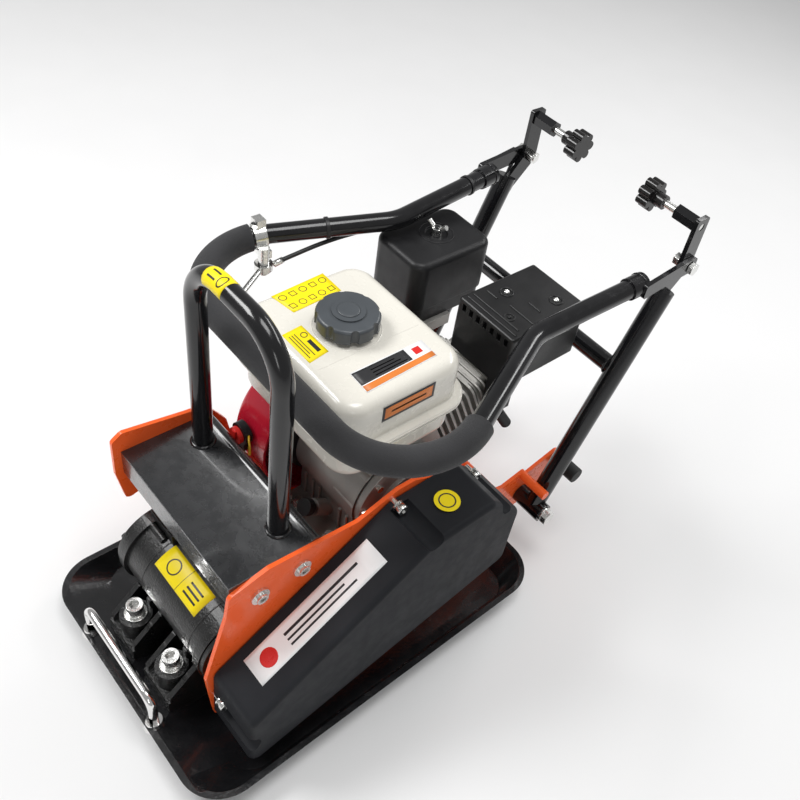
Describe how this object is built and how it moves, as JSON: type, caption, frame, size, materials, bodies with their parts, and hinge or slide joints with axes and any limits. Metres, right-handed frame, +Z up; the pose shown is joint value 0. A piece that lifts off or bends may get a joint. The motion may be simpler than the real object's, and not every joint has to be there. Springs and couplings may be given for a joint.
{
  "type": "plate compactor",
  "caption": "Forward plate compactor: tray-shaped sole plate, belt-driven exciter, engine with tank on a side-plate console, lifting hoop, carry bar and folding U handle.",
  "frame": {"origin": "centre of the sole of the base plate, on the ground", "axes": "+Z up, -Y forward (travel direction), +Y towards the operator, +X towards the belt guard side"},
  "size_m": [0.4903, 0.879, 0.6565],
  "materials": {
    "orange_paint": "gloss",
    "black_paint": "gloss",
    "zinc": "satin",
    "steel": "satin",
    "cast_iron": "satin",
    "cast_aluminium": "satin",
    "rubber": "matte",
    "belt": "matte",
    "black_plastic": "satin",
    "black_enamel": "satin",
    "red_paint": "gloss",
    "red_plastic": "gloss",
    "white_paint": "gloss",
    "foam": "matte",
    "bare_steel": "satin",
    "cable": "satin"
  },
  "bodies": {
    "base": {"air_cleaner_base": "black_plastic", "air_cleaner_cover": "black_plastic", "air_filter": "foam", "base_plate": "black_paint", "belt_guard": "black_plastic", "carburettor": "cast_aluminium", "console_bolts": "zinc", "crankcase": "cast_aluminium", "crankcase_side_cover": "cast_aluminium", "cylinder_head": "cast_aluminium", "engine_bed": "orange_paint", "engine_bolts": "zinc", "exciter_bearings": "steel", "exciter_end_covers": "black_paint", "exciter_housing": "black_paint", "exciter_screws": "zinc", "fan_shroud": "red_paint", "front_carry_bar": "zinc", "fuel_tank": "white_paint", "hoop_deck": "black_paint", "lift_hoop": "black_paint", "lower_pivot_bolts": "zinc", "muffler_body": "black_enamel", "muffler_shield": "black_enamel", "recoil_cover": "red_paint", "rubber_buffers": "rubber", "side_plate_left": "orange_paint", "side_plate_right": "orange_paint", "spark_plug_cap": "rubber", "switch_body": "black_plastic", "throttle_cable_engine": "cable", "v_belt": "belt"},
    "crank": {"crankshaft": "steel", "flywheel": "cast_iron", "clutch_hub": "steel"},
    "clutch_drum": {"clutch_drum": "cast_iron"},
    "exciter": {"eccentric_shaft": "steel", "eccentric_weight": "steel", "exciter_pulley": "cast_iron"},
    "starter_reel": {"starter_reel": "black_plastic"},
    "starter_grip": {"starter_grip": "black_plastic"},
    "switch_knob": {"switch_knob": "red_plastic"},
    "fuel_cap": {"fuel_cap": "black_plastic"},
    "air_wing_nut": {"air_wing_nut": "zinc"},
    "choke_lever": {"choke_lever": "black_plastic"},
    "fuel_valve_lever": {"fuel_valve_lever": "black_plastic"},
    "governor_arm": {"governor_arm": "bare_steel"},
    "oil_dipstick": {"oil_dipstick": "black_plastic"},
    "lower_frame": {"lower_frame": "black_paint", "fold_bolts": "zinc", "throttle_cable_lower": "cable"},
    "lock_stud_right": {"lock_stud_right": "zinc"},
    "lock_stud_left": {"lock_stud_left": "zinc"},
    "star_knob_right": {"star_knob_right": "black_plastic"},
    "star_knob_left": {"star_knob_left": "black_plastic"},
    "upper_handle": {"upper_handle": "black_paint", "foam_grip": "rubber", "throttle_clamp": "zinc", "throttle_cable_upper": "cable"},
    "throttle_lever": {"throttle_lever": "zinc"}
  },
  "joints": [
    {"name": "crank_spin", "type": "hinge", "parent": "base", "child": "crank", "pos_m": [0.05, 0.088, 0.28], "axis": [1, 0, 0], "continuous": true},
    {"name": "drum_spin", "type": "hinge", "parent": "base", "child": "clutch_drum", "pos_m": [0.163, 0.088, 0.28], "axis": [1, 0, 0], "continuous": true},
    {"name": "exciter_spin", "type": "hinge", "parent": "base", "child": "exciter", "pos_m": [0, -0.172, 0.146], "axis": [1, 0, 0], "continuous": true},
    {"name": "grip_pull", "type": "slide", "parent": "base", "child": "starter_grip", "axis": [0, 0.9962, 0.0872], "range_m": [0, 0.25]},
    {"name": "reel_spin", "type": "hinge", "parent": "base", "child": "starter_reel", "pos_m": [-0.1445, 0.088, 0.28], "axis": [1, 0, 0], "range_deg": [-430, 430]},
    {"name": "switch_turn", "type": "hinge", "parent": "base", "child": "switch_knob", "pos_m": [-0.102, -0.057, 0.322], "axis": [0, 1, 0], "range_deg": [0, 45]},
    {"name": "fuel_cap_turn", "type": "hinge", "parent": "base", "child": "fuel_cap", "pos_m": [-0.035, 0.061, 0.52], "axis": [0, 0, 1], "range_deg": [0, 90]},
    {"name": "wing_nut_turn", "type": "hinge", "parent": "base", "child": "air_wing_nut", "pos_m": [-0.137, 0.303, 0.515], "axis": [0, 0, 1], "continuous": true},
    {"name": "choke_turn", "type": "hinge", "parent": "base", "child": "choke_lever", "pos_m": [-0.109, 0.25, 0.374], "axis": [1, 0, 0], "range_deg": [0, 30]},
    {"name": "fuel_valve_turn", "type": "hinge", "parent": "base", "child": "fuel_valve_lever", "pos_m": [-0.109, 0.236, 0.352], "axis": [1, 0, 0], "range_deg": [0, 60]},
    {"name": "governor_turn", "type": "hinge", "parent": "base", "child": "governor_arm", "pos_m": [-0.036, 0.196, 0.418], "axis": [0, 0, 1], "range_deg": [0, 24]},
    {"name": "dipstick_turn", "type": "hinge", "parent": "base", "child": "oil_dipstick", "pos_m": [0.004, -0.002, 0.228], "axis": [0, -0.8, 0.6], "continuous": true},
    {"name": "lower_pivot", "type": "hinge", "parent": "base", "child": "lower_frame", "pos_m": [-0.023, 0.352, 0.12], "axis": [-1, 0, 0], "range_deg": [0, 20]},
    {"name": "handle_fold", "type": "hinge", "parent": "lower_frame", "child": "upper_handle", "pos_m": [-0.023, 0.541, 0.556], "axis": [-1, 0, 0], "range_deg": [0, 90]},
    {"name": "stud_slide_right", "type": "slide", "parent": "lower_frame", "child": "lock_stud_right", "axis": [-1, 0, 0], "range_m": [0, 0.014]},
    {"name": "star_turn_right", "type": "hinge", "parent": "lock_stud_right", "child": "star_knob_right", "pos_m": [0.06, 0.54, 0.622], "axis": [1, 0, 0], "range_deg": [0, 2880]},
    {"name": "stud_slide_left", "type": "slide", "parent": "lower_frame", "child": "lock_stud_left", "axis": [1, 0, 0], "range_m": [0, 0.014]},
    {"name": "star_turn_left", "type": "hinge", "parent": "lock_stud_left", "child": "star_knob_left", "pos_m": [-0.106, 0.54, 0.622], "axis": [-1, 0, 0], "range_deg": [0, 2880]},
    {"name": "throttle_turn", "type": "hinge", "parent": "upper_handle", "child": "throttle_lever", "pos_m": [-0.22039, 0.05845, 0.49445], "axis": [0, 0, 1], "range_deg": [0, 60]}
  ],
  "couplings": [
    {"joint": "drum_spin", "follows": "crank_spin", "ratio": 1},
    {"joint": "exciter_spin", "follows": "crank_spin", "ratio": 1.3667},
    {"joint": "reel_spin", "follows": "grip_pull", "rad_per_m": 29.412},
    {"joint": "stud_slide_right", "follows": "star_turn_right", "m_per_rad": 0.0002785},
    {"joint": "stud_slide_left", "follows": "star_turn_left", "m_per_rad": 0.0002785},
    {"joint": "governor_turn", "follows": "throttle_turn", "ratio": 0.4}
  ]
}
